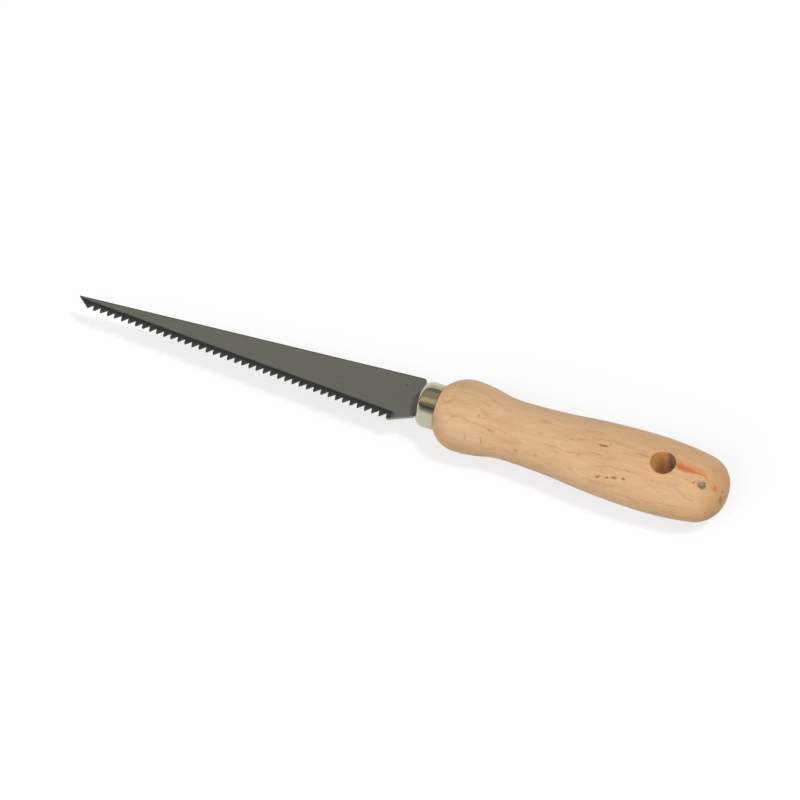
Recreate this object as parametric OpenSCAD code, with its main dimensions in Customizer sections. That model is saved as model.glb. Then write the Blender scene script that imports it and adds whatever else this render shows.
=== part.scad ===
// Keyhole saw: a narrow fixed blade, driven by its tang into a turned beech handle
// that is flattened to an oval, with a drawn ferrule over the front of the wood.
// Lengths are in millimetres. The saw lies on its side: +X runs from the point of the
// blade to the butt of the handle, the teeth face -Y, and +Z rises from the table.
// The origin is on the table, under the middle of the saw.
// Each piece is drawn from the blade's shoulder on the handle's axis, then laid down.

/* [Blade] */
// Length of the blade along the axis, from its point to the shoulder's upper corner
blade_len = 147.8; // [120:0.05:190]
// Thickness of the steel
blade_t = 1.3; // [0.9:0.1:2]
// Height of the point above the handle's axis
point_up = 0.15; // [0:0.05:2]
// Height of the shoulder's upper corner above the axis
back_up = 10.37; // [9:0.01:13]
// Drop of the shoulder's lower corner below the axis
heel_down = 7.25; // [6.4:0.05:9]
// Radius of the shoulder's upper corner
shoulder_r = 1.4; // [0.4:0.1:2.5]

/* [Teeth] */
// Distance between neighbouring tooth tips
tooth_pitch = 3.2; // [2.4:0.1:5]
// Height of a tooth from gullet to tip
tooth_h = 2.25; // [1.2:0.05:2.6]
// Lean of the tooth's steep front face, in degrees
tooth_rake = 15; // [0:1:20]
// Flat left on each tooth tip
tip_flat = 0.2; // [0.1:0.05:0.5]
// Flat at the bottom of each gullet
gullet_flat = 0.3; // [0.1:0.05:0.6]
// Sideways reach of a tooth tip, bent to alternate sides
tooth_set = 0.25; // [0:0.05:0.5]
// Distance along the axis from the point to the first tooth tip
toe_len = 7.95; // [6.5:0.05:10]
// Drop of the first tooth tip below the axis
toe_down = 4.2; // [3.5:0.1:6]
// Slant of the cut that shapes the point, in degrees
toe_slant = 37.5; // [30:0.5:50]
// Drop of the line of tooth tips below the axis, carried on to the shoulder
tips_down = 11.96; // [10:0.01:14]
// Least plain length between the last tooth tip and the shoulder
heel_len = 8.4; // [6:0.1:16]
// Flat behind the last tooth tip
heel_flat = 1.2; // [0.5:0.1:3]

/* [Tang] */
// Width of the tang where it leaves the shoulder
tang_w = 9.5; // [7:0.5:12]
// Width of the tang at its far end
tang_end_w = 4; // [2.5:0.5:6]
// Length of the tang behind the shoulder
tang_len = 52; // [30:1:70]
// Length of the tapered point at the tang's far end
tang_point = 4; // [1:0.5:8]
// Play of the tang in its slot in the wood, on each side
tang_play = 0.05; // [0.02:0.01:0.2]
// Diameter of the pilot bore that the tang is driven into
pilot_d = 4; // [2:0.5:6]
// Length of the pilot bore beyond the tang's end
pilot_spare = 3; // [1:0.5:8]

/* [Ferrule] */
// Outside diameter of the ferrule
ferrule_d = 18.4; // [17:0.1:22]
// Length of the ferrule from its flat face to its rim
ferrule_len = 8.9; // [7:0.05:15]
// Thickness of the drawn wall
ferrule_wall = 0.8; // [0.5:0.1:1.1]
// Outside radius of the rounded nose between the flat face and the side
nose_r = 4; // [1.5:0.1:4.2]
// Play of the tang in the ferrule's slot, on each side
slot_play = 0.15; // [0.05:0.05:0.4]
// Gap left where the blade's shoulder rests on the ferrule's front
rest_gap = 0.02; // [0.01:0.01:0.1]
// Play of the spigot inside the ferrule, all round
spigot_play = 0.05; // [0.02:0.01:0.2]

/* [Handle] */
// Length of the handle from the blade's shoulder to the butt
handle_len = 128.75; // [115:0.05:150]
// Step of the wood above the ferrule
lip = 0.15; // [0.05:0.05:1]
// Distance of the front bulge behind the blade's shoulder
bulge_at = 20.4; // [17:0.05:24]
// Width of the front bulge
bulge_w = 30.5; // [27:0.1:35]
// Thickness of the front bulge
bulge_t = 24; // [23:0.1:27]
// Distance of the waist behind the blade's shoulder
waist_at = 40.05; // [34:0.05:50]
// Width of the waist
waist_w = 25.5; // [22:0.1:28]
// Thickness of the waist
waist_t = 19.9; // [17:0.1:22]
// Distance of the rear swell in front of the butt
swell_back = 31.1; // [28:0.1:40]
// Width of the rear swell
swell_w = 32.1; // [29:0.1:36]
// Thickness of the rear swell
swell_t = 24; // [23:0.1:28]
// Radius of the long curve behind the swell
swell_r = 115; // [80:1:160]
// Radius of the rounded corner of the butt
butt_r = 12.4; // [8:0.1:14]
// Radius of the domed end of the butt
dome_r = 59; // [30:1:100]
// Share of the slope from bulge to waist that is crowned
bulge_share = 0.62; // [0.3:0.02:0.7]
// Share of the slope from waist to swell that is hollow
waist_share = 0.46; // [0.3:0.02:0.7]

/* [Hanging hole] */
// Diameter of the hanging hole
hole_d = 10; // [6:0.5:12]
// Distance of the hole's middle in front of the butt
hole_back = 25.6; // [20:0.1:40]

/* [Hidden] */
$fn = 64;

// Overlap that joins solids of one piece, and reach of a cut past its surface
join = 0.5;
reach = 1;

// Points around the handle, flats in the blade's rounded corner, and sections of the handle
// from the ferrule to the bulge, on to the waist, the swell, the two turns and the butt
section_n = 40;
corner_n = 6;
span_n = [8, 8, 11, 4, 8, 2];

// Where the blade's shoulder lies from the origin, and how high the axis lies
lay = [(blade_len - handle_len) / 2, 0, max(bulge_t, swell_t) / 2];

// The line of tooth tips: its first tip, slope, direction and the normal to the back
tip_0 = [toe_len - blade_len, -toe_down];
tip_slope = atan((tips_down - toe_down) / (blade_len - toe_len));
along = [cos(tip_slope), -sin(tip_slope)];
upward = [sin(tip_slope), cos(tip_slope)];
function on_tips(s, h) = tip_0 + s * along + h * upward;

// Teeth: the count that fits, the lean of a front face and the tilt that gives the set
tooth_n = floor((blade_len - toe_len - heel_len) / (tooth_pitch * along.x)) + 1;
last_s = (tooth_n - 1) * tooth_pitch;
front_lean = tooth_h * tan(tooth_rake);
back_root = tooth_pitch - front_lean - gullet_flat;
set_tilt = asin(tooth_set / tooth_h);

// Where the line through p along u meets the line through q along v
function meet(p, u, q, v) = p + u * cross(q - p, v) / cross(u, v);

// The point's slanted cut ends on the sloping back of a tooth that it cuts away
point = [-blade_len, point_up];
tooth_back = on_tips(back_root, tooth_h) - on_tips(tip_flat, 0);
toe_corner = meet(point, [cos(toe_slant), -sin(toe_slant)],
                  on_tips(tip_flat - tooth_pitch, 0), tooth_back);

// The blade's shoulder is cut square to its sloping back
back_slope = atan((back_up - point_up) / blade_len);
function shoulder_x(y) = (back_up - y) * tan(back_slope);

// Ferrule: radius of the flat face, the face's place, with the shoulder resting on the edge of
// the nose, and the depth at which the nose runs out into the side
flat_r = ferrule_d / 2 - nose_r;
rest_y = -flat_r - nose_r * sin(back_slope);
face_at = shoulder_x(rest_y) - nose_r * (1 - cos(back_slope)) + rest_gap;
nose_at = face_at + nose_r;

// Handle: the swell's place, the wood's start behind the ferrule and its radius there
swell_at = handle_len - swell_back;
wood_at = face_at + ferrule_len;
wood_r = ferrule_d / 2 + lip;
hole_at = handle_len - hole_back;

// Height of a crowned arc or of a hollow arc at x, from its level point [x, height]
function crown(x, top, r) = top.y - r + sqrt(max(r * r - (x - top.x) ^ 2, 0));
function hollow(x, low, r) = low.y + r - sqrt(max(r * r - (x - low.x) ^ 2, 0));

// Radius of the one arc that leaves a level point and passes through another point
function arc_r(level, p) =
    ((p.x - level.x) ^ 2 + (p.y - level.y) ^ 2) / (2 * abs(p.y - level.y));

// An S of two arcs between two level points, the first arc over a share of the run
function s_curve(x, a, b, share) =
    let (both = arc_r(a, b), r_a = share * both, r_b = both - r_a,
         turn = a.x + share * (b.x - a.x))
    a.y > b.y ? (x < turn ? crown(x, a, r_a) : hollow(x, b, r_b))
              : (x < turn ? hollow(x, a, r_a) : crown(x, b, r_b));

// Butt in the plan view: the swell's arc, a corner arc and a dome, each tangent to the next
swell_mid = [swell_at, swell_w / 2 - swell_r];
dome_mid = [handle_len - dome_r, 0];
to_dome = dome_mid - swell_mid;
gap_mid = norm(to_dome);
reach_a = ((swell_r - butt_r) ^ 2 - (dome_r - butt_r) ^ 2 + gap_mid ^ 2) / (2 * gap_mid);
reach_b = sqrt((swell_r - butt_r) ^ 2 - reach_a ^ 2);
unit = to_dome / gap_mid;
butt_mid = swell_mid + reach_a * unit + reach_b * [-unit.y, unit.x] * (unit.y > 0 ? -1 : 1);
turn_1 = swell_mid + (butt_mid - swell_mid) * swell_r / (swell_r - butt_r);
turn_2 = dome_mid + (butt_mid - dome_mid) * dome_r / (dome_r - butt_r);
function butt_half(x) =
    x < turn_1.x ? crown(x, [swell_at, swell_w / 2], swell_r)
    : x < turn_2.x ? crown(x, butt_mid + [0, butt_r], butt_r)
    : sqrt(max(dome_r ^ 2 - (x - dome_mid.x) ^ 2, 0));

// Half the handle's size at x, for the sizes [bulge, waist, swell] in one direction
function handle_half(x, size) =
    let (bulge = [bulge_at, size[0] / 2], waist = [waist_at, size[1] / 2],
         swell = [swell_at, size[2] / 2])
    x < bulge_at ? crown(x, bulge, arc_r(bulge, [wood_at, wood_r]))
    : x < waist_at ? s_curve(x, bulge, waist, bulge_share)
    : x < swell_at ? s_curve(x, waist, swell, waist_share)
    : butt_half(x) * size[2] / swell_w;

// Stations of the handle's sections along its axis, closer together where it curves most
function steps(from, to, n) = [for (i = [0 : n - 1]) from + (to - from) * i / n];
function eased(from, to, n) = [for (i = [0 : n - 1]) from + (to - from) * sin(90 * i / n)];
stations = concat(
    eased(wood_at, bulge_at, span_n[0]), steps(bulge_at, waist_at, span_n[1]),
    steps(waist_at, swell_at, span_n[2]), steps(swell_at, turn_1.x, span_n[3]),
    eased(turn_1.x, turn_2.x, span_n[4]), eased(turn_2.x, handle_len, span_n[5]));

// The steel of the blade in plan: the last tooth, at the heel, belongs to this outline
module blade_plan() {
    ahead = [cos(back_slope), sin(back_slope)];
    down = [ahead.y, -ahead.x];
    corner = [0, back_up] + shoulder_r * (down - ahead);
    heel = [shoulder_x(-heel_down), -heel_down];
    polygon(concat(
        [point],
        [for (i = [0 : corner_n]) let (a = back_slope + 90 * (1 - i / corner_n))
            corner + shoulder_r * [cos(a), sin(a)]],
        [heel, on_tips(last_s + heel_flat, 0), on_tips(last_s, 0),
         on_tips(last_s - front_lean, tooth_h), on_tips(back_root - tooth_pitch, tooth_h),
         toe_corner]));
}

// One tooth in its own plan, from just above its root to its tip
module tooth_plan() {
    polygon([[-front_lean, join], [-front_lean, 0], [0, -tooth_h], [tip_flat, -tooth_h],
             [back_root, 0], [back_root, join]]);
}

// The tang in plan, grown on each side by the play that its slot needs
module tang_plan(play) {
    half = tang_w / 2 + play;
    half_end = tang_end_w / 2 + play;
    taper_end = tang_len - tang_point;
    polygon([[-join, -half], [0, -half], [taper_end, -half_end], [tang_len + play, -play],
             [tang_len + play, play], [taper_end, half_end], [0, half], [-join, half]]);
}

// Profile of the drawn cup, as radius against depth, lying inside the outer one by inset:
// a flat face, a rounded nose tangent to it, and a straight side
module cup_profile(inset, back) {
    front = face_at + inset;
    translate([0, front]) square([flat_r, back - front]);
    translate([flat_r, nose_at]) circle(nose_r - inset);
    translate([0, nose_at]) square([ferrule_d / 2 - inset, back - nose_at]);
}

// Turns a solid that was drawn along +Z so that it lies along +X
module along_x() {
    rotate([90, 0, 90]) children();
}

// The blade: a stamped plate with its tang, and teeth bent by turns to either side
module blade() {
    color("dimgray") translate(lay) {
        linear_extrude(blade_t, center = true) blade_plan();
        linear_extrude(blade_t, center = true) tang_plan(0);
        for (k = [0 : tooth_n - 2])
            translate(on_tips(k * tooth_pitch, tooth_h))
                rotate([0, 0, -tip_slope])
                rotate([k % 2 == 0 ? set_tilt : -set_tilt, 0, 0])
                linear_extrude(blade_t, center = true) tooth_plan();
    }
}

// The ferrule: a drawn cup with a round nose and a slot for the tang in its front wall
module ferrule() {
    color("silver") translate(lay) difference() {
        along_x() rotate_extrude() difference() {
            cup_profile(0, wood_at);
            cup_profile(ferrule_wall, wood_at + reach);
        }
        cube([2 * (face_at + ferrule_wall + reach), tang_w + 2 * slot_play,
              blade_t + 2 * slot_play], center = true);
    }
}

// The oval body of the handle: rings of points, round at the ferrule and flattened behind it,
// with the flats between the points on the oval, so that the handle rests on a flat
module handle_body() {
    ring_n = len(stations);
    half_step = 180 / section_n;
    outward = 1 / cos(half_step);
    wide = [bulge_w, waist_w, swell_w];
    thick = [bulge_t, waist_t, swell_t];
    points = concat(
        [for (x = stations) let (w = handle_half(x, wide), t = handle_half(x, thick))
            for (j = [0 : section_n - 1]) let (a = half_step * (2 * j + 1))
                [x, outward * w * cos(a), outward * t * sin(a)]],
        [[handle_len, 0, 0]]);
    front = [[for (j = [0 : section_n - 1]) j]];
    sides = [for (i = [0 : ring_n - 2], j = [0 : section_n - 1])
        let (a = i * section_n + j, b = i * section_n + (j + 1) % section_n)
        each [[a, b + section_n, b], [a, a + section_n, b + section_n]]];
    end = [for (j = [0 : section_n - 1])
        let (first = (ring_n - 1) * section_n)
        [first + (j + 1) % section_n, first + j, ring_n * section_n]];
    polyhedron(points, concat(front, sides, end), convexity = 4);
}

// The handle: oval body, round spigot for the ferrule, seat for the tang and hanging hole
module handle() {
    color("burlywood") translate(lay) difference() {
        union() {
            handle_body();
            along_x() rotate_extrude()
                cup_profile(ferrule_wall + spigot_play, wood_at + join);
        }
        linear_extrude(blade_t + 2 * tang_play, center = true) tang_plan(tang_play);
        along_x() translate([0, 0, -join])
            cylinder(h = join + tang_len + pilot_spare, d = pilot_d);
        translate([hole_at, 0, 0]) cylinder(h = swell_t + 2 * reach, d = hole_d, center = true);
    }
}

blade();
ferrule();
handle();
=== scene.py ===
# %% [markdown]
# # A keyhole saw
# This lesson dresses a small hand saw: a narrow toothed blade, a plated ferrule and a turned
# beech handle. The construction already exists as solids in the frame, at real size. Here each
# piece gets a finer skin over the same sizes, and a finish that reads like the real material.
# The saw lies on its side: +X runs from the blade's point to the butt, the teeth face -Y.

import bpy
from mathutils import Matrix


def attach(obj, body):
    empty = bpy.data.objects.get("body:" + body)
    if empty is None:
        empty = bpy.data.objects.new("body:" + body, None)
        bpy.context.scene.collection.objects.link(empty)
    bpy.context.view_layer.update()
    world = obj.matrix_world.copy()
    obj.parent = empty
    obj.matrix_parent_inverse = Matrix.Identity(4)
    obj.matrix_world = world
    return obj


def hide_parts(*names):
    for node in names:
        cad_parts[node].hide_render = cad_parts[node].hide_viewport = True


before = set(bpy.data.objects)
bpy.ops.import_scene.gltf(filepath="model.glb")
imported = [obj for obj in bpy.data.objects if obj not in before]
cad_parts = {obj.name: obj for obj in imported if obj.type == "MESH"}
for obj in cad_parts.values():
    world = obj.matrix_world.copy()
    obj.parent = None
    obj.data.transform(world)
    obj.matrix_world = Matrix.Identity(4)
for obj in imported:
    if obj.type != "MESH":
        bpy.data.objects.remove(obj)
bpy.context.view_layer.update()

import bpy
import numpy as np
from mathutils import Matrix, Vector

print("solids in the frame:", sorted(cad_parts))

# %% [markdown]
# ## Sizes
# The sizes are those of the solids, in millimetres, because that is how a workshop thinks.
# Lengths are counted from the upper corner of the blade's shoulder, widths and heights from the
# handle's axis. That point is called the saw's zero here. A piece is moved to its place on the
# table when it becomes a mesh. The frame itself is in metres.

# %% Where the saw lies
MM = 0.001
BLADE_LEN = 147.8
HANDLE_LEN = 128.75
AXIS_UP = 12.0
lay = np.array([(BLADE_LEN - HANDLE_LEN) / 2, 0.0, AXIS_UP])
print("the saw's zero lies at", lay, "mm")

# %% [markdown]
# ## From arrays to meshes
# A skin is a stack of rings with the same number of points. Numpy works out all points at once,
# and the faces follow from the order of the rings. Small helpers do that for every piece: one
# bends a ring from a circle to a rectangle, one numbers the faces of a stack, one closes an end,
# and one turns points and faces into an object at the origin.

# %% Rings across the axis
AROUND = 144


def ring_points(x, half_y, half_z, square):
    """Rings across the axis: y is the half width times the cosine of the angle, z the half
    thickness times its sine. For a square ring both are divided by the larger of the two, up
    or down, which pushes the round ring out to a rectangle."""
    angle = 2 * np.pi * np.arange(AROUND) / AROUND
    c, s = np.cos(angle), np.sin(angle)
    push = np.maximum(abs(c), abs(s)) if square else np.ones(AROUND)
    x = np.repeat(np.asarray(x, float)[:, None], AROUND, 1)
    return np.stack([x, np.outer(half_y, c / push), np.outer(half_z, s / push)], -1)


# %% Faces of a stack of rings
def ring_faces(rows):
    """Quads between neighbouring rings: point k of ring r joins k of ring r + 1, then k + 1
    of both, and the last point of a ring joins its first. Rows hold point numbers."""
    here, there = rows[:-1], rows[1:]
    corners = [here, there, np.roll(there, -1, 1), np.roll(here, -1, 1)]
    return np.stack(corners, -1).reshape(-1, 4)


def fan_faces(ring, tip, tip_first):
    """Triangles that close a ring at one point, wound the same way as the stack's quads."""
    after = np.roll(ring, -1)
    tips = np.full_like(ring, tip)
    order = [tips, ring, after] if tip_first else [ring, tips, after]
    return np.stack(order, -1)


# %% From points to an object
def make_piece(name, node, points, faces, sharp_degrees):
    """Points in mm from the saw's zero become an object at the origin, in metres, that stands
    for one solid of the frame and rides with it."""
    mesh = bpy.data.meshes.new(name)
    places = ((points + lay) * MM).tolist()
    mesh.from_pydata(places, [], [face for group in faces for face in group.tolist()])
    mesh.shade_smooth()
    mesh.set_sharp_from_angle(angle=np.radians(sharp_degrees))
    piece = bpy.data.objects.new(name, mesh)
    bpy.context.scene.collection.objects.link(piece)
    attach(piece, "root")
    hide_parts(node)
    print(name, "has", len(mesh.vertices), "points and", len(mesh.polygons), "faces")
    return piece


# %% [markdown]
# ## The ferrule
# The ferrule is a small cup drawn from sheet metal and pressed over the front of the wood, to
# keep it from splitting. A rounded nose leads from its flat front wall over to the straight side,
# and the blade's tang goes in through a slot. The blade's shoulder rests on that wall, which sets
# its place. A lathe tool could not make the slot, so the cup is a stack of rings whose last ones
# bend from a circle to that rectangle.

# %% Sizes of the cup
FERRULE_D, FERRULE_LEN, FERRULE_WALL, NOSE_R = 18.4, 8.9, 0.8, 4.0
BLADE_T, TANG_W = 1.3, 9.5
SLOT_PLAY, FACE_AT = 0.15, 1.106
face_edge = FERRULE_D / 2 - NOSE_R
nose_at = FACE_AT + NOSE_R
wood_at = FACE_AT + FERRULE_LEN
NOSE_STEPS, FACE_STEPS, RIM_STEPS = 19, 6, 9
print("the flat face is", round(2 * face_edge, 2), "mm across")


# %% The cup's nose and face
def cup_nose(inset):
    """Round rings from the cup's side over the nose to the flat face, inside the outer cup by
    inset. Depth is the arc's middle minus its radius times the cosine of the turn, and the
    ring's radius is that of the flat face plus the arc's radius times the sine."""
    turn, bend = np.linspace(np.pi / 2, 0, NOSE_STEPS), NOSE_R - inset
    ring_r = face_edge + bend * np.sin(turn)
    return ring_points(nose_at - bend * np.cos(turn), ring_r, ring_r, False)


def cup_face(inset, half_y, half_z):
    """Rings on the flat face that bend from its round edge to a rectangle: straight blends."""
    start = ring_points([FACE_AT + inset], [face_edge], [face_edge], False)
    hole = ring_points([FACE_AT + inset], [half_y], [half_z], True)
    share = np.linspace(0, 1, FACE_STEPS)[1:, None, None]
    return start * (1 - share) + hole * share


# %% Build the ferrule
RIM_ROUND, SLOT_BREAK = 0.3, 0.1


def build_ferrule():
    """Rings from the slot up the inside, over the rounded rim and back down the outside to the
    slot, whose outer edge is broken. The last ring joins the first through the slot."""
    slot_y, slot_z = TANG_W / 2 + SLOT_PLAY, BLADE_T / 2 + SLOT_PLAY
    half = np.linspace(0, np.pi, RIM_STEPS)
    rim_x = wood_at - RIM_ROUND * (1 - np.sin(half))
    rim_r = FERRULE_D / 2 - FERRULE_WALL / 2 * (1 + np.cos(half))
    stack = np.concatenate([
        cup_face(FERRULE_WALL, slot_y, slot_z)[::-1], cup_nose(FERRULE_WALL)[::-1],
        ring_points(rim_x, rim_r, rim_r, False), cup_nose(0.0),
        cup_face(0.0, slot_y + SLOT_BREAK, slot_z + SLOT_BREAK),
        cup_face(SLOT_BREAK, slot_y, slot_z)[-1:]])
    rows = np.arange(stack.shape[0] * AROUND).reshape(-1, AROUND)
    faces = [ring_faces(np.concatenate([rows, rows[:1]]))]
    return make_piece("ferrule_cup", "ferrule", stack.reshape(-1, 3), faces, 35)


ferrule_cup = build_ferrule()

# %% [markdown]
# ## The handle's outline
# A handle like this is turned between centres and then flattened on two sides, so each section
# is an oval. Its outline is a chain of arcs: a round shoulder behind the ferrule, a front bulge
# for the forefinger, a waist, a long swell for the palm and a domed butt. Drawing it with arcs,
# as a turner's template is, keeps the curves clean from every side.

# %% Sizes of the handle
LIP = 0.15
wood_r = FERRULE_D / 2 + LIP
SWELL_BACK = 31.1
BULGE_AT, WAIST_AT, SWELL_AT = 20.4, 40.05, HANDLE_LEN - SWELL_BACK
WIDE = {"bulge": 30.5, "waist": 25.5, "swell": 32.1}
THICK = {"bulge": 24.0, "waist": 19.9, "swell": 24.0}
SWELL_R, BUTT_R, DOME_R = 115.0, 12.4, 59.0
BULGE_SHARE, WAIST_SHARE = 0.62, 0.46


# %% The chain of arcs
def level_arc(x, start, radius, side):
    """Height at x of an arc that is level at start: it leaves that height by the radius minus
    the root of radius squared minus run squared, upwards for side +1, downwards for side -1."""
    leave = radius - np.sqrt(np.maximum(radius**2 - (x - start[0]) ** 2, 0.0))
    return start[1] + side * leave


def slope_arcs(x, start, end, share):
    """An S of two arcs between two level points. One arc through both points would have the
    radius (run squared + rise squared) / (2 rise); the two arcs share that radius."""
    run, rise = end[0] - start[0], end[1] - start[1]
    both, side = (run**2 + rise**2) / (2 * abs(rise)), np.sign(rise)
    first = level_arc(x, start, share * both, side)
    second = level_arc(x, end, (1 - share) * both, -side)
    return np.where(x < start[0] + share * run, first, second)


# %% The butt's three arcs
swell_mid = np.array([SWELL_AT, WIDE["swell"] / 2 - SWELL_R])
dome_mid = np.array([HANDLE_LEN - DOME_R, 0.0])
apart = np.linalg.norm(dome_mid - swell_mid)
unit = (dome_mid - swell_mid) / apart
near = ((SWELL_R - BUTT_R) ** 2 - (DOME_R - BUTT_R) ** 2 + apart**2) / (2 * apart)
aside = np.sqrt((SWELL_R - BUTT_R) ** 2 - near**2)
butt_mid = swell_mid + near * unit + aside * np.array([unit[1], -unit[0]])
butt_from = (swell_mid + (butt_mid - swell_mid) * SWELL_R / (SWELL_R - BUTT_R))[0]
butt_to = (dome_mid + (butt_mid - dome_mid) * DOME_R / (DOME_R - BUTT_R))[0]
print("the butt's corner arc runs from", round(butt_from, 2), "to", round(butt_to, 2), "mm")


def butt_half(x):
    """Half width of the butt: the swell's long arc, a corner arc and a dome, each tangent
    to the next, with their middles found from the distances between them."""
    swell = level_arc(x, (SWELL_AT, WIDE["swell"] / 2), SWELL_R, -1)
    corner = level_arc(x, (butt_mid[0], butt_mid[1] + BUTT_R), BUTT_R, -1)
    dome = np.sqrt(np.maximum(DOME_R**2 - (x - dome_mid[0]) ** 2, 0.0))
    return np.where(x < butt_from, swell, np.where(x < butt_to, corner, dome))


def handle_half(x, size):
    """Half the handle's size at x in one direction, from its sizes at bulge, waist and swell."""
    bulge, waist, swell = ((at, size[key] / 2) for at, key in
                           ((BULGE_AT, "bulge"), (WAIST_AT, "waist"), (SWELL_AT, "swell")))
    run, rise = BULGE_AT - wood_at, bulge[1] - wood_r
    front = level_arc(x, bulge, (run**2 + rise**2) / (2 * rise), -1)
    rear = butt_half(x) * size["swell"] / WIDE["swell"]
    return np.select([x < BULGE_AT, x < WAIST_AT, x < SWELL_AT],
                     [front, slope_arcs(x, bulge, waist, BULGE_SHARE),
                      slope_arcs(x, waist, swell, WAIST_SHARE)], rear)


# %% [markdown]
# ## The handle's skin
# One skin covers all of the wood: from the butt's pole forward over the oval body, round the lip
# at the ferrule, along the spigot inside it, and back down the slot that holds the tang. Each
# ring is an oval, a circle or a rectangle with the same number of points. The hanging hole is a
# second stack of rings, a tube that leaves the skin on top, turns over a soft rim, runs down the
# bore and meets the skin below, so the wood stays one closed surface.

# %% Oval rings of the body
HOLE_D, HOLE_BACK, HOLE_REACH = 10.0, 25.6, 8.0
HOLE_AT = HANDLE_LEN - HOLE_BACK
LIP_ROUND = 0.15
END_RINGS, SWELL_RINGS, HOLE_RINGS, BODY_RINGS = 25, 12, 21, 80


def handle_stations():
    """Places of the oval rings from butt to ferrule, with steps that shrink by a sine where the
    outline turns fastest, and even steps beside the hole."""
    turn = np.sin(np.linspace(0, np.pi / 2, END_RINGS))
    butt = HANDLE_LEN - (HANDLE_LEN - butt_from) * (1 - turn[:0:-1])
    swell = np.linspace(butt_from, HOLE_AT + HOLE_REACH, SWELL_RINGS)[1:-1]
    hole = np.linspace(HOLE_AT + HOLE_REACH, HOLE_AT - HOLE_REACH, HOLE_RINGS)
    body = np.linspace(HOLE_AT - HOLE_REACH, BULGE_AT, BODY_RINGS)[1:-1]
    start = wood_at + LIP_ROUND
    front = start + (BULGE_AT - start) * np.cos(np.linspace(0, np.pi / 2, END_RINGS))
    first = len(butt) + len(swell)
    return np.concatenate([butt, swell, hole, body, front]), first, first + len(hole) - 1


body_x, hole_row_0, hole_row_1 = handle_stations()
body = ring_points(body_x, handle_half(body_x, WIDE), handle_half(body_x, THICK), False)
print("the oval body has", len(body_x), "rings")

# %% Rings of the lip, the spigot and the slot
SPIGOT_PLAY, TANG_PLAY = 0.05, 0.05
TANG_END_W, TANG_LEN, TANG_POINT = 4.0, 52.0, 4.0
TANG_TIP_W, ARC_STEPS = 0.8, 7
quarter = np.linspace(0, np.pi / 2, ARC_STEPS)
spigot_in = FERRULE_WALL + SPIGOT_PLAY
spigot_r = FERRULE_D / 2 - spigot_in
lip_x = wood_at + LIP_ROUND * (1 - np.sin(quarter[1:]))
lip_shrink = LIP_ROUND * (1 - np.cos(quarter[1:]))
lip_y, lip_z = body[-1, 0, 1], body[-1, AROUND // 4, 2]
lip = ring_points(lip_x, lip_y - lip_shrink, lip_z - lip_shrink, False)
spigot = ring_points([wood_at], [spigot_r], [spigot_r], False)
seat_y, seat_z = TANG_W / 2 + TANG_PLAY, BLADE_T / 2 + TANG_PLAY
seat = ring_points([TANG_LEN - TANG_POINT, TANG_LEN + TANG_PLAY],
                   np.array([TANG_END_W, TANG_TIP_W]) / 2 + TANG_PLAY, [seat_z, seat_z], True)
front_end = np.concatenate([lip, spigot, cup_nose(spigot_in),
                            cup_face(spigot_in, seat_y, seat_z), seat])
print("the front of the wood has", len(front_end), "rings")

# %% The hole's place in the skin
# The patch that the hole leaves is the middle third of the upper half of the rings.
side = AROUND // 6
row_step = np.arange(hole_row_0, hole_row_1)
col_step = np.arange(side, 2 * side)
loop_row = np.concatenate([np.full(side, hole_row_0), row_step,
                           np.full(side, hole_row_1), row_step[::-1] + 1])
loop_col = np.concatenate([col_step, np.full(len(row_step), 2 * side),
                           col_step[::-1] + 1, np.full(len(row_step), side)])


def skin_up(plan):
    """Height of the oval skin above a point of the plan: half thickness times the root of
    one minus the square of y over the half width."""
    x, y = plan[..., 0], plan[..., 1]
    return handle_half(x, THICK) * np.sqrt(1 - (y / handle_half(x, WIDE)) ** 2)


# %% The hole's tube of rings
RIM_R = 0.3


def hole_tube():
    """Rings from the skin's edge to the rim (straight blends in plan, raised to the skin), over
    the rim by a quarter arc, and half way down the bore; the lower half is their mirror."""
    middle = np.array([HOLE_AT, 0.0])
    edge = body[loop_row, loop_col, :2]
    toward = (edge - middle) / np.linalg.norm(edge - middle, axis=1)[:, None]
    rim = middle + (HOLE_D / 2 + RIM_R) * toward
    share = np.linspace(0, 1, ARC_STEPS)[1:, None, None]
    flat = edge * (1 - share) + rim * share
    over = quarter[1:, None, None]
    turn = middle + (HOLE_D / 2 + RIM_R * (1 - np.sin(over))) * toward
    turn_z = skin_up(rim) - RIM_R * (1 - np.cos(over[..., 0]))
    down = np.linspace(1, 0, ARC_STEPS)[1:, None]
    wall = np.repeat(turn[-1:], len(down), 0)
    upper = np.concatenate([np.dstack([flat, skin_up(flat)]), np.dstack([turn, turn_z]),
                            np.dstack([wall, turn_z[-1] * down])])
    return np.concatenate([upper, upper[-2::-1] * [1, 1, -1]])


tube = hole_tube()
print("the hanging hole has", len(tube), "rings of", tube.shape[1], "points")


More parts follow.
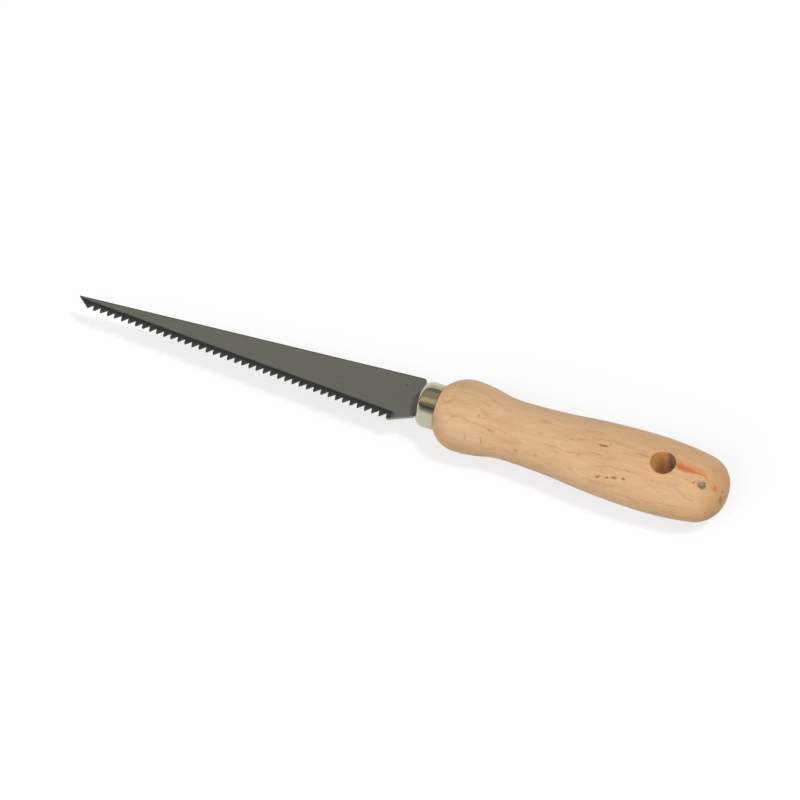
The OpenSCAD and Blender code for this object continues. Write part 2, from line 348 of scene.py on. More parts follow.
# %% Assemble the handle
def build_handle():
    """Stacks the rings, leaves out the two patches of skin where the tube comes through, and
    closes the butt and the slot's end with fans."""
    stack = np.concatenate([body, front_end])
    rows = np.arange(stack.shape[0] * AROUND).reshape(-1, AROUND)
    quads = ring_faces(rows).reshape(len(rows) - 1, AROUND, 4)
    keep = np.ones(quads.shape[:2], bool)
    keep[hole_row_0:hole_row_1, side:2 * side] = False
    keep[hole_row_0:hole_row_1, AROUND - 2 * side:AROUND - side] = False
    inner = rows.size + np.arange(tube.shape[0] * tube.shape[1]).reshape(tube.shape[:2])
    below = rows[loop_row, (AROUND - loop_col) % AROUND]
    tube_rows = np.concatenate([[rows[loop_row, loop_col]], inner, [below]])
    tip = inner[-1, -1] + 1
    ends = np.array([[HANDLE_LEN, 0, 0], [TANG_LEN + TANG_PLAY, 0, 0]])
    points = np.concatenate([stack.reshape(-1, 3), tube.reshape(-1, 3), ends])
    faces = [quads[keep], ring_faces(tube_rows), fan_faces(rows[0], tip, True),
             fan_faces(rows[-1], tip + 1, False)]
    return make_piece("handle_wood", "handle", points, faces, 40)


handle_wood = build_handle()

# %% [markdown]
# ## The blade
# The blade is stamped from sheet, so it is modelled as a flat sheet first: columns run from the
# line of gullets to the straight back. Every tooth is a small patch that narrows to its tip. Saws
# cut a slot wider than their plate because the teeth are set, bent by turns to either side, and
# so are these. Solidify then gives the sheet its thickness and Bevel breaks the sharp edges.

# %% Sizes of the blade
POINT_UP, BACK_UP, HEEL_DOWN, SHOULDER_R = 0.15, 10.37, 7.25, 1.4
PITCH, TOOTH_H, TOOTH_SET = 3.2, 2.25, 0.25
TIP_FLAT, GULLET_FLAT, RAKE = 0.2, 0.3, np.radians(15)
TOE_LEN, TOE_DOWN, TIPS_DOWN, TOE_SLANT = 7.95, 4.2, 11.96, np.radians(37.5)
HEEL_LEN, HEEL_FLAT = 8.4, 1.2

tip_fall = np.arctan((TIPS_DOWN - TOE_DOWN) / (BLADE_LEN - TOE_LEN))
along = np.array([np.cos(tip_fall), -np.sin(tip_fall)])
upward = np.array([np.sin(tip_fall), np.cos(tip_fall)])
first_tip = np.array([TOE_LEN - BLADE_LEN, -TOE_DOWN])
tooth_count = int((BLADE_LEN - TOE_LEN - HEEL_LEN) / (PITCH * along[0])) + 1
last_tip = (tooth_count - 1) * PITCH
lean = TOOTH_H * np.tan(RAKE)
back_root = PITCH - lean - GULLET_FLAT
print(tooth_count, "teeth, the last tip", round(last_tip, 1), "mm behind the first")


# %% The lower edge, from the toe to the heel
def on_tips(s, h):
    """A point s along the line of tooth tips from the first tip, and h above that line."""
    return first_tip + np.multiply.outer(s, along) + np.multiply.outer(h, upward)


def crossed(a, b):
    """The sine-like cross product of two plan vectors."""
    return a[0] * b[1] - a[1] * b[0]


point = np.array([-BLADE_LEN, POINT_UP])
cut = np.array([np.cos(TOE_SLANT), -np.sin(TOE_SLANT)])
tooth_back = on_tips(back_root, TOOTH_H) - on_tips(TIP_FLAT, 0.0)
lost_tip = on_tips(TIP_FLAT - PITCH, 0.0)
toe_corner = point + cut * crossed(lost_tip - point, tooth_back) / crossed(cut, tooth_back)

# Steps across a tooth, down a tooth and round the shoulder's corner.
WEB, DEEP, BEND = 4, 5, 8
tooth_s = (np.arange(tooth_count - 1)[:, None] * PITCH
           + np.linspace(-lean, back_root, WEB + 1)[None, :])
gullet_s = np.concatenate([[back_root - PITCH], tooth_s.ravel(), [last_tip - lean]])
gullets = on_tips(gullet_s, np.full(gullet_s.size, TOOTH_H))
back_rise = np.arctan((BACK_UP - POINT_UP) / BLADE_LEN)
heel_corner = [(BACK_UP + HEEL_DOWN) * np.tan(back_rise), -HEEL_DOWN]
heel = np.linspace(on_tips(last_tip + HEEL_FLAT, 0.0), heel_corner, BEND)
lower = np.concatenate([[toe_corner], gullets, [on_tips(last_tip, 0.0)], heel])

# %% The straight back and its rounded corner
ahead = np.array([np.cos(back_rise), np.sin(back_rise)])
down = np.array([ahead[1], -ahead[0]])
corner = np.array([0.0, BACK_UP]) + SHOULDER_R * (down - ahead)
corner_turn = back_rise + np.pi / 2 * np.linspace(1, 0, BEND)
shoulder = corner + SHOULDER_R * np.stack([np.cos(corner_turn), np.sin(corner_turn)], -1)
spread = (lower[:-BEND, :1] - lower[0, 0]) / (lower[-BEND, 0] - lower[0, 0])
upper = np.concatenate([point + (shoulder[0] - point) * spread, shoulder])
print("the sheet has", len(lower), "columns")


# %% Patches of the sheet: plate, teeth and tang
BELOW_ROWS, TANG_ROWS, ABOVE_ROWS = 2, 7, 4
TANG_STEPS, SET_POWER = 8, 1.3


def plate_patch():
    """Straight blends from the lower to the upper edge of each column, with rows where the
    shoulder and the tang need them. The tang leaves from the rows of its width."""
    shoulder_y = np.concatenate([np.linspace(-HEEL_DOWN, -TANG_W / 2, BELOW_ROWS + 1)[:-1],
                                 np.linspace(-TANG_W / 2, TANG_W / 2, TANG_ROWS),
                                 np.linspace(TANG_W / 2, upper[-1, 1], ABOVE_ROWS + 1)[1:]])
    rise = ((shoulder_y + HEEL_DOWN) / (upper[-1, 1] + HEEL_DOWN))[:, None, None]
    return lower * (1 - rise) + upper * rise


def tooth_patches():
    """Rows that narrow from the root to the tip, and the way each point leaves the sheet: the
    set times a power of its depth, to either side by turns."""
    depth = np.linspace(0, 1, DEEP + 1)[1:]
    front, rear = -lean * (1 - depth), back_root + (TIP_FLAT - back_root) * depth
    across = front[:, None] + (rear - front)[:, None] * np.linspace(0, 1, WEB + 1)
    s = np.arange(tooth_count - 1)[:, None, None] * PITCH + across
    way = np.where(np.arange(tooth_count - 1) % 2 == 0, -1, 1)
    leave = (way[:, None] * TOOTH_SET * depth**SET_POWER)[:, :, None]
    plan = on_tips(s, np.broadcast_to(TOOTH_H * (1 - depth)[:, None], s.shape))
    return plan, np.broadcast_to(leave, s.shape)


def tang_patch():
    """The shoulder's middle rows carried back, with their y scaled by the tang's taper."""
    x = np.append(np.linspace(0, TANG_LEN - TANG_POINT, TANG_STEPS)[1:], TANG_LEN)
    taper = np.interp(x, [0, TANG_LEN - TANG_POINT, TANG_LEN], [TANG_W, TANG_END_W, TANG_TIP_W])
    y = np.outer(np.linspace(-0.5, 0.5, TANG_ROWS), taper)
    return np.stack([np.broadcast_to(x, y.shape), y], -1)


# %% Build the blade
TOE_COLUMNS, EDGE_BREAK, EDGE_TURN = 2, 0.07, 35


def sheet_faces(no):
    """Quads of grids of point numbers whose rows rise and whose columns run back."""
    corners = [no[..., :-1, :-1], no[..., :-1, 1:], no[..., 1:, 1:], no[..., 1:, :-1]]
    return np.stack(corners, -1).reshape(-1, 4)


def build_blade():
    """Numbers the patches one after another; teeth and tang borrow their first row from the
    plate, so the sheet is one surface."""
    plate, (teeth, leave), tang = plate_patch(), tooth_patches(), tang_patch()
    plate_no = np.arange(plate[..., 0].size).reshape(plate.shape[:2])
    tooth_no = plate_no.size + np.arange(leave.size).reshape(leave.shape)
    tang_no = plate_no.size + leave.size + np.arange(tang[..., 0].size).reshape(tang.shape[:2])
    root_no = plate_no[0, TOE_COLUMNS:TOE_COLUMNS + tooth_s.size].reshape(-1, 1, WEB + 1)
    tooth_no = np.concatenate([root_no, tooth_no], 1)
    shoulder_no = plate_no[BELOW_ROWS:BELOW_ROWS + TANG_ROWS, -1:]
    tang_no = np.concatenate([shoulder_no, tang_no], 1)
    plan = np.concatenate([plate.reshape(-1, 2), teeth.reshape(-1, 2), tang.reshape(-1, 2)])
    height = np.zeros(len(plan))
    height[plate_no.size:plate_no.size + leave.size] = leave.ravel()
    faces = [sheet_faces(plate_no), sheet_faces(tooth_no[:, ::-1]), sheet_faces(tang_no)]
    points = np.column_stack([plan, height])
    return make_piece("blade_plate", "blade", points, faces, 30)


blade_plate = build_blade()
thick = blade_plate.modifiers.new("sheet thickness", "SOLIDIFY")
thick.thickness, thick.offset = BLADE_T * MM, 0.0
soften = blade_plate.modifiers.new("broken edges", "BEVEL")
soften.width, soften.segments = EDGE_BREAK * MM, 2
soften.limit_method, soften.angle_limit = "ANGLE", np.radians(EDGE_TURN)

# %% [markdown]
# ## Shader arithmetic
# A finish is a small calculation at every point of the surface. Written as Python expressions it
# stays readable, so this class wraps a socket, and each operator adds one Math node. One method
# adds any other node: its settings are set first, then its socket values and links.


# %% The socket class
class Wire:
    """One socket in a node tree, on which ordinary arithmetic works."""

    def __init__(self, tree, socket=None):
        self.tree = tree
        self.socket = socket

    def node(self, kind, settings=(), sockets=(), out=0):
        """Adds a node with its settings, then its socket values or links; gives one output."""
        made = self.tree.nodes.new(kind)
        for name, value in dict(settings).items():
            setattr(made, name, value)
        for name, value in dict(sockets).items():
            if isinstance(value, Wire):
                self.tree.links.new(value.socket, made.inputs[name])
            else:
                made.inputs[name].default_value = value
        return Wire(self.tree, made.outputs[out] if made.outputs else None)

    def other(self, out):
        """Another output of the same node."""
        return Wire(self.tree, self.socket.node.outputs[out])

    def math(self, operation, first, second=0.0):
        """One Math node on two numbers or sockets."""
        return self.node("ShaderNodeMath", {"operation": operation}, {0: first, 1: second})

    def __add__(self, other):
        return self.math("ADD", self, other)

    def __sub__(self, other):
        return self.math("SUBTRACT", self, other)

    def __rsub__(self, other):
        return self.math("SUBTRACT", other, self)

    def __mul__(self, other):
        return self.math("MULTIPLY", self, other)

    def __truediv__(self, other):
        return self.math("DIVIDE", self, other)

    def __pow__(self, other):
        return self.math("POWER", self, other)

    __radd__ = __add__
    __rmul__ = __mul__


# %% Words for colours
def paint(red, green, blue):
    """A colour as it looks on a screen, 0 to 255, in the linear light that shaders use: above
    a small toe, (value + 0.055) / 1.055 to the power 2.4."""
    share = np.array([red, green, blue]) / 255
    light = np.where(share > 0.04045, ((share + 0.055) / 1.055) ** 2.4, share / 12.92)
    return (*light.tolist(), 1.0)


def ease(value, low, high):
    """0 at low, 1 at high, and a smooth S between; it falls where low is the larger."""
    return value.node("ShaderNodeMapRange", {"interpolation_type": "SMOOTHSTEP"},
                      {"Value": value, "From Min": low, "From Max": high})


def blend(share, first, second):
    """The first colour where share is 0, the second where it is 1."""
    return share.node("ShaderNodeMix", {"data_type": "RGBA"}, {0: share, 6: first, 7: second}, 2)


# %% Words for places
def stretched(place, size):
    """The place divided by a size in each direction, so that one unit is one grain."""
    return place.node("ShaderNodeVectorMath", {"operation": "DIVIDE"}, {0: place, 1: size})


def cloudy(place, size, detail=2.0):
    """Soft noise from 0 to 1 with clouds of the given size."""
    return place.node("ShaderNodeTexNoise", {}, {"Vector": stretched(place, size), "Scale": 1.0,
                                                 "Detail": detail}, "Fac")


def spot(place, middle, half, turn, soft=0.35):
    """1 inside an ellipsoid with a soft edge: the place is moved, turned and divided by the
    half sizes, and its length from the middle is compared with 1."""
    inside = place.node("ShaderNodeMapping", {"vector_type": "TEXTURE"},
                        {"Vector": place, "Location": middle,
                         "Rotation": (0.0, 0.0, np.radians(turn)), "Scale": half})
    away = place.node("ShaderNodeVectorMath", {"operation": "LENGTH"}, {0: inside}, "Value")
    return ease(away, 1.0 + soft, 1.0 - soft)


def shaken(place, size, reach):
    """The place pushed sideways by noise of the given size, by up to half the reach."""
    push = place.node("ShaderNodeTexNoise", {}, {"Vector": stretched(place, size), "Scale": 1.0},
                      "Color")
    push = place.node("ShaderNodeVectorMath", {"operation": "SUBTRACT"}, {0: push, 1: (0.5,) * 3})
    return place.node("ShaderNodeVectorMath", {"operation": "MULTIPLY_ADD"},
                      {0: push, 1: (reach,) * 3, 2: place})


# %% Words for finishes
def new_finish(name, piece):
    """A material on a piece. Gives the place of each point in mm from the saw's zero."""
    finish = bpy.data.materials.new(name)
    finish.use_nodes = True
    finish.node_tree.nodes.clear()
    piece.data.materials.append(finish)
    tree = Wire(finish.node_tree)
    here = tree.node("ShaderNodeTexCoord", out="Object")
    return tree.node("ShaderNodeVectorMath", {"operation": "MULTIPLY_ADD"},
                     {0: here, 1: (1 / MM,) * 3, 2: tuple(-lay)})


def split(place):
    """The three coordinates of a place."""
    first = place.node("ShaderNodeSeparateXYZ", {}, {"Vector": place})
    return first, first.other(1), first.other(2)


def show(surface):
    """Sends a shader to the material's output."""
    surface.node("ShaderNodeOutputMaterial", {}, {"Surface": surface})
    print("finish with", len(surface.tree.nodes), "nodes")


# %% [markdown]
# ## Beech
# Beech is pale and even, with faint growth rings and many short brown flecks. The flecks are
# rays, thin ribbons that run out from the pith, so the texture is worked out in the tree's own
# directions: distance from the pith gives the rings, the angle round it gives the ribbons. A cut
# along the face then shows dashes, a cut across it shows rings, as in real wood. This handle was
# sawn from well beside the pith, so its layers lie aslant to the flat of the handle. The bore has
# painted light and shade: its side towards the butt is painted slate grey for the rim's shadow,
# and the rest a bright newly cut tone that gets lighter further down. The butt shows darker end
# grain.

# %% The tree's own directions
PITH_Y, PITH_Z, PITH_FAR, PITH_TILT, RING_GAP = 36.0, -38.0, 52.0, 0.02, 2.4
wood = new_finish("beech_lacquered", handle_wood)
wood_x, wood_y, wood_z = split(wood)
sway = cloudy(wood, (24.0, 8.0, 8.0)) - 0.5
ripple = cloudy(wood, (6.0, 2.2, 2.2)) - 0.5
from_y = wood_y - PITH_Y
from_z = wood_z - PITH_Z + wood_x * PITH_TILT
out = (from_y * from_y + from_z * from_z) ** 0.5 + sway * 5.0 + ripple
ring = out.math("FRACT", out / RING_GAP)
layer_line = ease(ring, 0.72, 0.93) * ease(ring, 1.0, 0.96)
some_places = ease(cloudy(wood, (17.0, 5.0, 5.0)), 0.4, 0.62)

# %% Rays and pores
round_pith = wood.math("ARCTAN2", from_y, from_z) * PITH_FAR


def ray_flecks(long, thin, deep, size, share):
    """Ribbons round the points of a cell pattern in the tree's directions: long along the
    grain, thin round the pith, deep outwards, kept in a share of the cells."""
    place = wood.node("ShaderNodeCombineXYZ", {},
                      {0: (wood_x + ripple * 2.0) / long, 1: (round_pith + ripple) / thin,
                       2: out / deep})
    cell = place.node("ShaderNodeTexVoronoi", {}, {"Vector": place, "Scale": 1.0})
    pick = place.node("ShaderNodeSeparateColor", {}, {0: cell.other("Color")})
    return ease(cell, size, size * 0.4) * ease(pick, 1 - share, 1 - share * 0.6)


fine_rays = ray_flecks(1.7, 0.34, 1.0, 0.4, 0.6)
bold_rays = ray_flecks(3.4, 0.6, 1.8, 0.34, 0.25)
pores = cloudy(wood, (2.4, 0.16, 0.16), 1.0)
streaks = cloudy(wood, (9.0, 1.1, 1.1), 3.0)
tone = cloudy(wood, (22.0, 6.0, 6.0), 3.0)

# %% Marks of this one piece of wood
near_wood = shaken(wood, (2.0, 1.0, 1.0), 1.1)
ORANGE, RUST, BROWN, OLIVE = (216, 136, 80), (192, 104, 50), (158, 112, 74), (134, 94, 46)
marks = (
    # a red streak narrows from the hole towards the butt, darker along its lower side
    ((114.4, 1.0, 11.2), (5.2, 1.6, 3.0), 3, 0.75, ORANGE),
    ((109.8, 0.5, 11.5), (1.5, 1.7, 3.0), 60, 0.8, RUST),
    ((112.9, -0.1, 11.3), (3.6, 1.1, 3.0), 5, 0.8, RUST),
    ((118.6, 0.7, 10.6), (2.8, 0.9, 3.0), 0, 0.75, ORANGE),
    ((117.6, 0.2, 10.7), (2.2, 0.35, 3.0), 4, 0.6, RUST),
    ((120.6, -0.1, 10.2), (1.2, 0.7, 2.0), -20, 0.8, ORANGE),
    ((124.3, -2.2, 8.3), (1.3, 1.3, 2.2), -20, 0.7, ORANGE),
    ((125.2, -2.5, 7.6), (0.5, 1.0, 1.6), 0, 0.8, RUST),
    # grain lines beside the hole and along the flat
    ((95.2, 0.1, 12.0), (3.4, 0.42, 2.0), 0, 0.5, BROWN),
    ((80.8, -8.9, 9.6), (4.4, 0.25, 3.0), 14, 0.4, BROWN),
    ((90.3, -7.9, 10.4), (6.2, 0.3, 3.0), 2, 0.45, BROWN),
    ((78.8, -0.9, 11.6), (2.2, 0.4, 2.0), 6, 0.85, OLIVE),
    ((77.8, -4.7, 11.0), (1.7, 0.3, 2.0), 6, 0.45, OLIVE),
    # bark flecks on the end of the butt
    ((127.9, -4.2, 3.6), (0.6, 1.5, 1.6), 20, 0.8, BROWN),
    ((127.65, -1.2, 5.2), (0.4, 0.7, 1.2), 0, 0.6, BROWN),
    ((113.95, -3.75, 10.8), (0.35, 0.3, 1.0), 0, 0.6, BROWN),
    ((117.1, -3.9, 10.4), (0.85, 0.3, 1.0), 55, 0.7, OLIVE),
    # short brown flecks on the front bulge and along the lower side
    ((18.7, -7.6, 10.35), (0.9, 0.5, 1.5), 10, 0.45, BROWN),
    ((28.3, -4.15, 11.0), (0.6, 0.35, 1.5), -30, 0.5, BROWN),
    ((25.5, -12.7, 6.3), (0.3, 1.2, 1.5), 20, 0.45, BROWN),
    ((31.8, -11.65, 5.9), (0.35, 1.7, 2.0), 30, 0.5, BROWN),
    ((34.15, -7.7, 8.55), (0.5, 0.3, 1.0), 0, 0.55, BROWN),
    ((46.1, -10.9, 5.3), (0.8, 0.4, 1.5), 10, 0.5, BROWN),
    ((54.0, -10.8, 5.8), (0.8, 0.4, 1.5), 0, 0.5, BROWN),
    ((66.2, -2.0, 10.8), (0.8, 0.35, 1.0), 0, 0.4, BROWN))
rough_wood = shaken(wood, (0.7, 0.7, 0.7), 2.2)
knot = spot(rough_wood, (120.4, -3.8, 9.85), (1.6, 1.4, 2.5), 25, 0.3)
knot_core = spot(rough_wood, (119.8, -3.3, 10.0), (1.2, 0.75, 2.5), -30, 0.7)
knot_side = spot(rough_wood, (118.8, -3.4, 10.2), (0.8, 1.2, 2.5), 25, 0.6)
print(len(marks), "marks and a pin knot")


# %% Brown flecks beside the swell
def brown_flecks():
    """A few natural brown flecks, drawn out along the grain, uneven in length and spacing."""
    runs = ((80.7, -12.2, 1.2, 0.32), (84.5, -11.8, 0.7, 0.28), (87.2, -11.2, 1.1, 0.4),
            (90.8, -10.8, 0.8, 0.3))
    flecks = [spot(near_wood, (x, y, 8.0), (long, wide, 3.0), 10, 0.5)
              for x, y, long, wide in runs]
    total = flecks[0]
    for fleck in flecks[1:]:
        total = total.math("MAXIMUM", total, fleck)
    return total


flecks = brown_flecks()

# %% Colour and gloss of the beech
HOLE_NEAR, HOLE_IN = (HOLE_D / 2 + 0.13) ** 2, (HOLE_D / 2 + 0.02) ** 2
BORE_SHADE_X, BORE_SHADE_Y = 0.86, 0.51
END_FROM, END_TO, REAR_FROM, REAR_TO = 117.3, 127.3, 45.0, 105.0
bored = ease((wood_x - HOLE_AT) ** 2 + wood_y * wood_y, HOLE_NEAR, HOLE_IN)
end_grain = ease(wood_x + (tone - 0.5) * 6.0, END_FROM, END_TO)
colour = blend(ease(tone, 0.3, 0.7), paint(212, 174, 134), paint(202, 161, 119))
colour = blend(ease(wood_x, REAR_FROM, REAR_TO) * 0.5, colour, paint(212, 168, 120))
colour = blend(ease(streaks, 0.45, 0.75) * 0.5, colour, paint(222, 184, 141))
colour = blend(layer_line * some_places * 0.45, colour, paint(182, 134, 88))
colour = blend(fine_rays * some_places * 0.5, colour, paint(178, 128, 84))
colour = blend(bold_rays * 0.42, colour, paint(168, 118, 72))
colour = blend(ease(pores, 0.62, 0.8) * 0.15, colour, paint(178, 132, 90))
colour = blend(end_grain * 0.6, colour, paint(192, 143, 88))
for middle, half, turn, share, tint in marks:
    colour = blend(spot(near_wood, middle, half, turn, 0.5) * share, colour, paint(*tint))
colour = blend(flecks * 0.8, colour, paint(118, 76, 36))
colour = blend(knot_side * 0.5, colour, paint(172, 132, 118))
colour = blend(knot * 0.9, colour, paint(84, 77, 60))
colour = blend(knot_core * 0.85, colour, paint(156, 150, 126))
# painted shade: the bore's side towards the butt is painted slate grey, for the shadow of the rim
painted_bore_shade = ease((wood_x - HOLE_AT) * BORE_SHADE_X + wood_y * BORE_SHADE_Y, 1.8, 3.4)
# a newly cut wood tone, brightened and made lighter further down: painted light against the shade
# deep in the hole
bore_tone_and_painted_light = blend(ease(wood_z, 10.0, 5.0), paint(246, 178, 112), paint(255, 206, 136))
walls = blend(painted_bore_shade * 0.8, bore_tone_and_painted_light, paint(96, 96, 104))
colour = blend(bored * 0.95, colour, walls)
relief = pores * 0.5 - fine_rays * 0.6 - bold_rays * 0.5 - layer_line * 0.2
bump = wood.node("ShaderNodeBump", {}, {"Height": relief, "Strength": 0.25, "Distance": 0.00008})
show(wood.node("ShaderNodeBsdfPrincipled", {}, {
    "Base Color": colour, "Roughness": 0.5 + tone * 0.12 - fine_rays * 0.08, "Normal": bump,
    "Coat Weight": 0.12, "Coat Roughness": 0.35}))

# %% [markdown]
# ## Bright plating
# The ferrule is plated and polished, so it shows the studio more than its own colour. What makes
# it look drawn and handled is small: a slight waviness that bends the reflections, fine lines
# round the cup from the drawing die, slightly cloudy gloss, and a warmer, duller film where the
# plating is thin at the rim.

# %% The ferrule's finish
plate = new_finish("warm_plating", ferrule_cup)
plate_x = split(plate)[0]
lines = cloudy(plate, (0.16, 14.0, 14.0), 3.0)
dents = cloudy(plate, (4.0, 3.0, 3.0), 1.0)
film = cloudy(plate, (3.0, 3.0, 3.0), 4.0)
rim = ease(plate_x, wood_at - 1.2, wood_at - 0.1)
colour = blend(ease(film, 0.35, 0.75) * 0.3, paint(189, 183, 163), paint(182, 173, 149))
colour = blend(rim * 0.4, colour, paint(168, 152, 118))
relief = lines * 0.04 + dents
bump = plate.node("ShaderNodeBump", {}, {"Height": relief, "Strength": 0.5, "Distance": 0.0002})
show(plate.node("ShaderNodeBsdfPrincipled", {}, {
    "Base Color": colour, "Metallic": 1.0, "Roughness": 0.07 + film * 0.07 + rim * 0.1,
    "Normal": bump}))

# %% [markdown]
# ## Blade steel
# The plate is cold-rolled, dull and slightly warm, with fine rolling lines along it. Its teeth
# were hardened by heat, which leaves a nearly black band that ends a little above the gullets and
# just behind the last tooth. The teeth are a shade lighter, where they were ground. The stamped
# edge of the heel is bright. All of this is worked out along and across the line of tooth tips.

# %% The blade's own directions
steel = new_finish("rolled_steel", blade_plate)
steel_x, steel_y, steel_z = split(steel)
run = (steel_x - first_tip[0]) * along[0] + (steel_y - first_tip[1]) * along[1]
above = (steel_x - first_tip[0]) * upward[0] + (steel_y - first_tip[1]) * upward[1]
below_back = (point[1] - steel_y + (steel_x - point[0]) * np.tan(back_rise)) * np.cos(back_rise)
rolling = cloudy(steel, (30.0, 0.25, 3.0), 3.0)
scale = cloudy(steel, (3.5, 2.0, 2.0), 5.0)
grit = cloudy(steel, (0.35, 0.2, 0.3), 2.0)

# %% The blade's finish
BAND_UP, BAND_SOFT = TOOTH_H + 1.1, 0.35
burn = above + (scale - 0.5) * 0.5 - ease(run, 20.0, 70.0) * 0.15
band = ease(burn, BAND_UP + BAND_SOFT, BAND_UP - BAND_SOFT)
band = band * ease(run, last_tip + 3.2, last_tip + 0.8)
ground = ease(above + (grit - 0.5), TOOTH_H - 0.1, TOOTH_H - 0.9)
back_line = ease(below_back, 0.6, 0.2)
cut_edge = ease(steel_z * steel_z, 0.3, 0.24) * ease(run, last_tip - 1.0, last_tip + 2.0)
pit = spot(steel, (-6.6, 5.2, 0.65), (0.35, 0.35, 0.4), 0)
colour = blend(rolling, paint(103, 105, 97), paint(113, 114, 105))
colour = blend(ease(scale, 0.55, 0.75) * 0.35, colour, paint(96, 95, 87))
colour = blend(band * 0.95, colour, paint(40, 44, 44))
colour = blend(ground * band * 0.3, colour, paint(78, 82, 82))
colour = blend(back_line * 0.75, colour, paint(62, 62, 58))
colour = blend(cut_edge * 0.8, colour, paint(168, 166, 156))
colour = blend(pit * 0.5, colour, paint(50, 46, 42))
relief = rolling * 0.6 + grit * 0.3 + scale * 0.3
bump = steel.node("ShaderNodeBump", {}, {"Height": relief, "Strength": 0.2, "Distance": 0.00005})
show(steel.node("ShaderNodeBsdfPrincipled", {}, {
    "Base Color": colour, "Metallic": 0.35, "Roughness": 0.5 + grit * 0.12 - band * 0.08,
    "Normal": bump}))

# %% [markdown]
# ## The studio
# The saw lies on a white table in soft light from all round, with a lamp high above the butt's end
# and a broad fill low on the front left. A polished cup needs something dark to reflect, or it
# looks like white plastic, so product photographers stand screens round it. Here strips of a long
# tube do that: walls of several greys in front and behind, and a warm lamp strip overhead. They
# are seen only in reflections and cast no shade.

# %% White table
def stage_sheet(name, points, finish):
    """A grid of points in metres as an object that isn't part of the saw."""
    no = np.arange(points[..., 0].size).reshape(points.shape[:2])
    mesh = bpy.data.meshes.new(name)
    mesh.from_pydata(points.reshape(-1, 3).tolist(), [], sheet_faces(no).tolist())
    mesh.materials.append(finish)
    sheet = bpy.data.objects.new(name, mesh)
    bpy.context.scene.collection.objects.link(sheet)
    return sheet


def stage_finish(name):
    """A bare material for a thing of the studio."""
    finish = bpy.data.materials.new(name)
    finish.use_nodes = True
    finish.node_tree.nodes.clear()
    return finish, Wire(finish.node_tree)


def seen_directly(tree):
    """1 for rays from the camera, from gloss and through glass, 0 for rays that carry light."""
    camera = tree.node("ShaderNodeLightPath", out="Is Camera Ray")
    gloss = tree.math("MAXIMUM", camera, camera.other("Is Glossy Ray"))
    return tree.math("MAXIMUM", gloss, camera.other("Is Transmission Ray"))


WHITE = (1.0, 1.0, 1.0, 1.0)
TABLE_SHARE, TABLE_HALF = 0.3, 16.0
table_finish, table = stage_finish("white_table")
matt = table.node("ShaderNodeBsdfDiffuse", {}, {"Color": (TABLE_SHARE,) * 3 + (1.0,)})
glow = table.node("ShaderNodeEmission", {}, {"Color": WHITE,
                                             "Strength": seen_directly(table) * (1 - TABLE_SHARE)})
show(table.node("ShaderNodeAddShader", {}, {0: matt, 1: glow}))
span = np.linspace(-TABLE_HALF, TABLE_HALF, 3)
flat_x, flat_y = np.meshgrid(span, span)
stage_sheet("table", np.dstack([flat_x, flat_y, 0 * flat_x]), table_finish)

# %% Screens for the plated cup
SCREEN_R, SCREEN_FROM, SCREEN_TO = 2.0, -40.0, 3.0


def only_mirrored(panel):
    """Hides a panel from everything but reflections, so that it neither lights nor shades."""
    panel.visible_camera = False
    panel.visible_diffuse = False
    panel.visible_transmission = False
    panel.visible_shadow = False


def screen(name, low, high, light):
    """A strip of a wide tube round the saw's axis, from one height angle to another: 0 degrees
    is the horizon in front of the saw, 90 is overhead and 180 is the horizon behind it."""
    angle, x = np.meshgrid(np.radians(np.linspace(low, high, 9)), [SCREEN_FROM, SCREEN_TO])
    finish, tree = stage_finish(name)
    show(tree.node("ShaderNodeEmission", {}, {"Color": light, "Strength": 1.0}))
    points = np.dstack([x, -SCREEN_R * np.cos(angle), SCREEN_R * np.sin(angle)])
    only_mirrored(stage_sheet(name, points, finish))


screen("front_edge", 17.0, 27.0, paint(205, 205, 200))
screen("front_wall", 27.0, 39.0, paint(146, 146, 144))
screen("front_core", 39.0, 52.0, paint(88, 88, 80))
screen("front_dark", 52.0, 65.0, paint(138, 136, 132))
screen("lamp_edge", 65.0, 71.0, paint(172, 158, 134))
screen("lamp_strip", 71.0, 91.0, paint(224, 210, 186))
screen("rear_ledge", 91.0, 104.0, paint(178, 164, 146))
screen("rear_wall", 104.0, 130.0, paint(177, 168, 160))
screen("rear_dark", 130.0, 154.0, paint(140, 133, 124))
screen("rear_haze", 156.0, 178.0, paint(232, 230, 222))

# %% White surroundings
SKY_LIGHT = 0.42
world = bpy.data.worlds.new("studio")
bpy.context.scene.world = world
world.use_nodes = True
world.node_tree.nodes.clear()
air = Wire(world.node_tree)
level = SKY_LIGHT + seen_directly(air) * (1 - SKY_LIGHT)
sky = air.node("ShaderNodeBackground", {}, {"Color": WHITE, "Strength": level})
air.node("ShaderNodeOutputWorld", {}, {"Surface": sky})


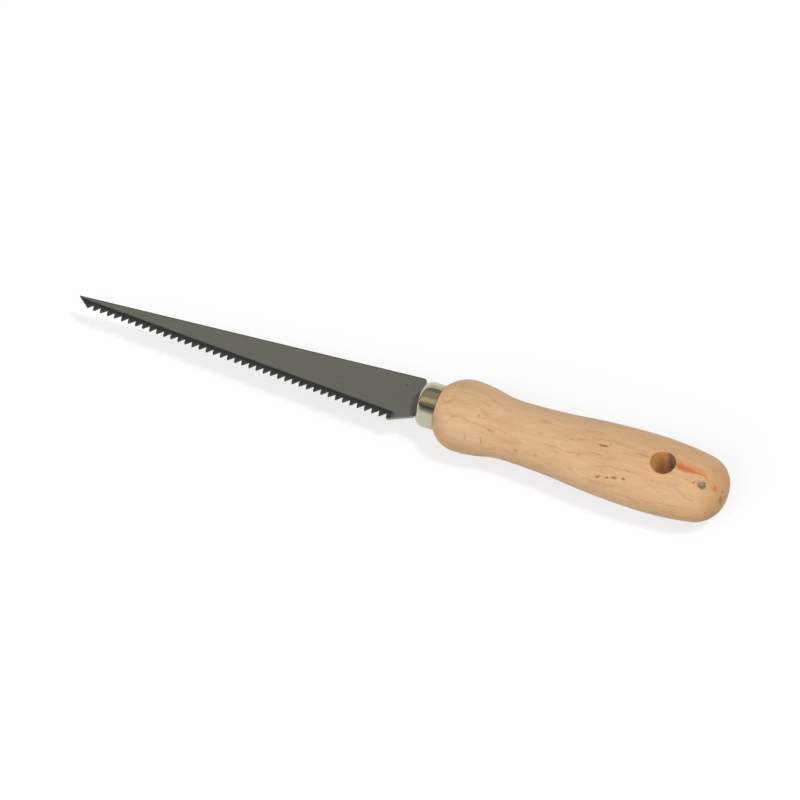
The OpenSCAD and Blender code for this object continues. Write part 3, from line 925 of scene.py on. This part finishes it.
# %% Two lamps
def hang_lamp(name, strength, wide, side, up):
    """A far lamp of an apparent width, at a side angle from the butt's end of the saw and a
    height angle, both in degrees; negative side angles are in front of the saw."""
    side, up = np.radians([side, up])
    lamp = bpy.data.lights.new(name, "SUN")
    lamp.energy, lamp.angle = strength, np.radians(wide)
    hung = bpy.data.objects.new(name, lamp)
    to_lamp = Vector((np.cos(side) * np.cos(up), np.sin(side) * np.cos(up), np.sin(up)))
    hung.rotation_euler = to_lamp.to_track_quat("Z", "Y").to_euler()
    hung.visible_glossy = False
    bpy.context.scene.collection.objects.link(hung)
    print(name, "shines from", to_lamp)


hang_lamp("right_lamp", strength=1.5, wide=10.0, side=16.0, up=62.0)
hang_lamp("front_fill", strength=1.45, wide=60.0, side=-112.0, up=30.0)
bpy.context.scene.view_settings.view_transform = "Standard"

# %% [markdown]
# ## The camera
# The camera looks down on the saw from the front and from the right, with a long lens, and is
# turned a little about its line of sight. Its place and direction follow from three angles, the
# distance, and the pixel where the saw's zero should come out.

# %% Place the camera
AZIMUTH, ELEVATION, TURN = np.radians(30.7802), np.radians(57.6275), np.radians(-9.4798)
DISTANCE, FOCAL_PX, FRAME_PX, ZERO_PX = 1614.161, 4116.643, 800, (417.3478, 400.6589)
back = np.array([np.sin(AZIMUTH) * np.cos(ELEVATION), -np.cos(AZIMUTH) * np.cos(ELEVATION),
                 np.sin(ELEVATION)])
flat = np.array([np.cos(AZIMUTH), np.sin(AZIMUTH), 0.0])
right = np.cos(TURN) * flat + np.sin(TURN) * np.cross(back, flat)
over = np.cross(back, right)
shift = (np.array(ZERO_PX) - (FRAME_PX - 1) / 2) * DISTANCE / FOCAL_PX
place = (lay + DISTANCE * back - shift[0] * right + shift[1] * over) * MM
eye = bpy.data.cameras.new("eye")
eye.sensor_width = 36.0
eye.lens = FOCAL_PX * eye.sensor_width / FRAME_PX
eye.clip_start, eye.clip_end = 0.01, 50.0
camera = bpy.data.objects.new("eye", eye)
camera.matrix_world = Matrix(np.vstack([np.stack([right, over, back, place], 1), [0, 0, 0, 1]]))
bpy.context.scene.collection.objects.link(camera)
bpy.context.scene.camera = camera
print("lens", round(eye.lens, 1), "mm at", np.round(place, 3), "m")

# %% [markdown]
# ## The last step
# The dressed saw keeps the sizes of its solids. The scene is brought up to date, so that each
# piece stands at its place.

# %% Bring the scene up to date
bpy.context.view_layer.update()
